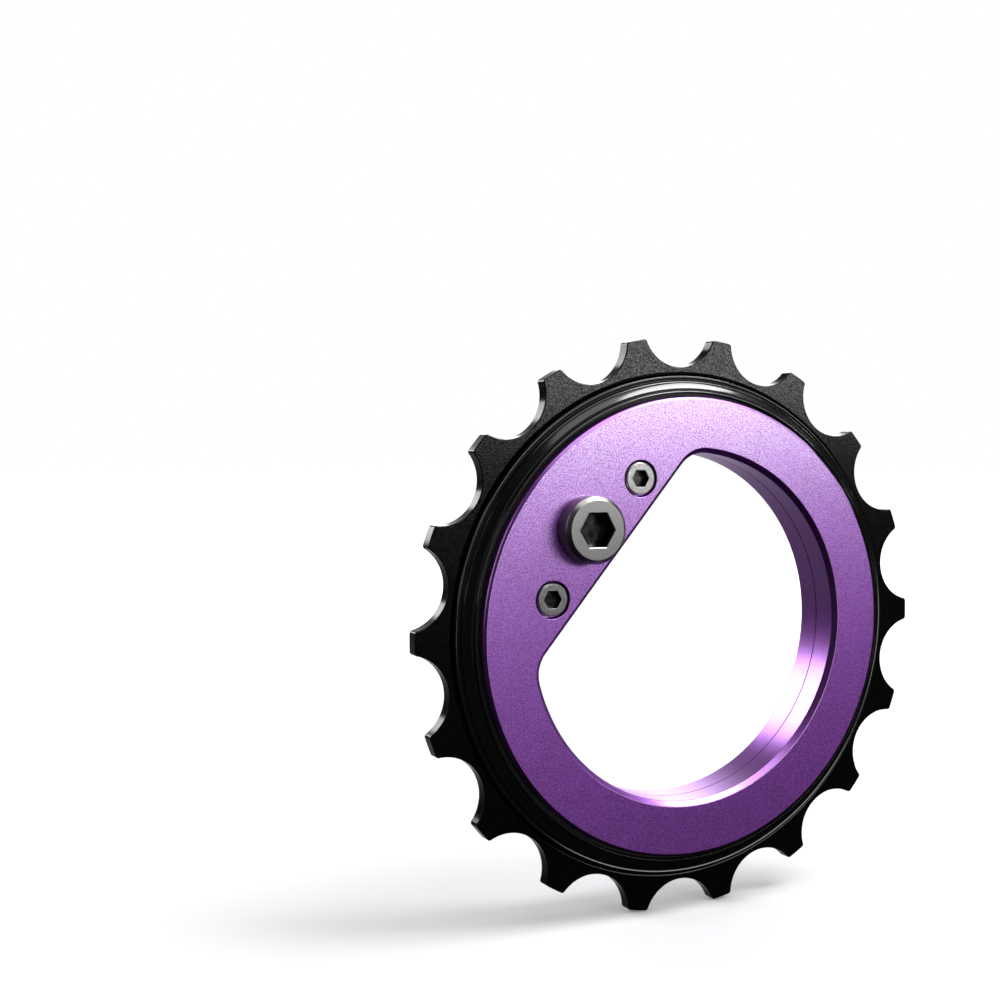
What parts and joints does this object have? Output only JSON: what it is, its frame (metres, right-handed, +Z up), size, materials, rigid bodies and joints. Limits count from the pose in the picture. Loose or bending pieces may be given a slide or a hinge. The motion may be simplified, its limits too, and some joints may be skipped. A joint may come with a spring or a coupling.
{
  "type": "derailleur jockey wheel",
  "caption": "Hollow jockey wheel for a rear derailleur: a black toothed ring turns on a large thin ball bearing round a purple hub with an open D-shaped centre, fixed by an offset bolt.",
  "frame": {"origin": "centre of the wheel, on the middle plane of the tooth ring", "axes": "+Y along the wheel's axis from the bolt's head side to its thread side, +Z up as in the picture, +X to the right seen from the head side"},
  "size_m": [0.073, 0.0162, 0.0724],
  "materials": {
    "black_anodised": "bead blasted, satin black anodised",
    "blackened_steel": "turned smooth and blackened",
    "bearing_steel": "ground bright",
    "cage_polymer": "moulded matt",
    "purple_anodised": "bead blasted, purple anodised",
    "bolt_steel": "satin grey"
  },
  "bodies": {
    "hub": {"hub_front": "purple_anodised", "hub_rear": "purple_anodised", "bearing_inner_race": "bearing_steel", "axle_bolt": "bolt_steel", "lower_hub_screw": "bolt_steel", "upper_hub_screw": "bolt_steel"},
    "wheel": {"tooth_ring": "black_anodised", "bearing_outer_race": "blackened_steel"},
    "ball_set": {"ball_cage": "cage_polymer"}
  },
  "joints": [
    {"name": "wheel_spin", "type": "hinge", "parent": "hub", "child": "wheel", "pos_m": [0, 0, 0], "axis": [0, 1, 0], "continuous": true},
    {"name": "cage_spin", "type": "hinge", "parent": "hub", "child": "ball_set", "pos_m": [0, 0, 0], "axis": [0, 1, 0], "continuous": true}
  ],
  "couplings": [
    {"joint": "cage_spin", "follows": "wheel_spin", "ratio": 0.517}
  ]
}
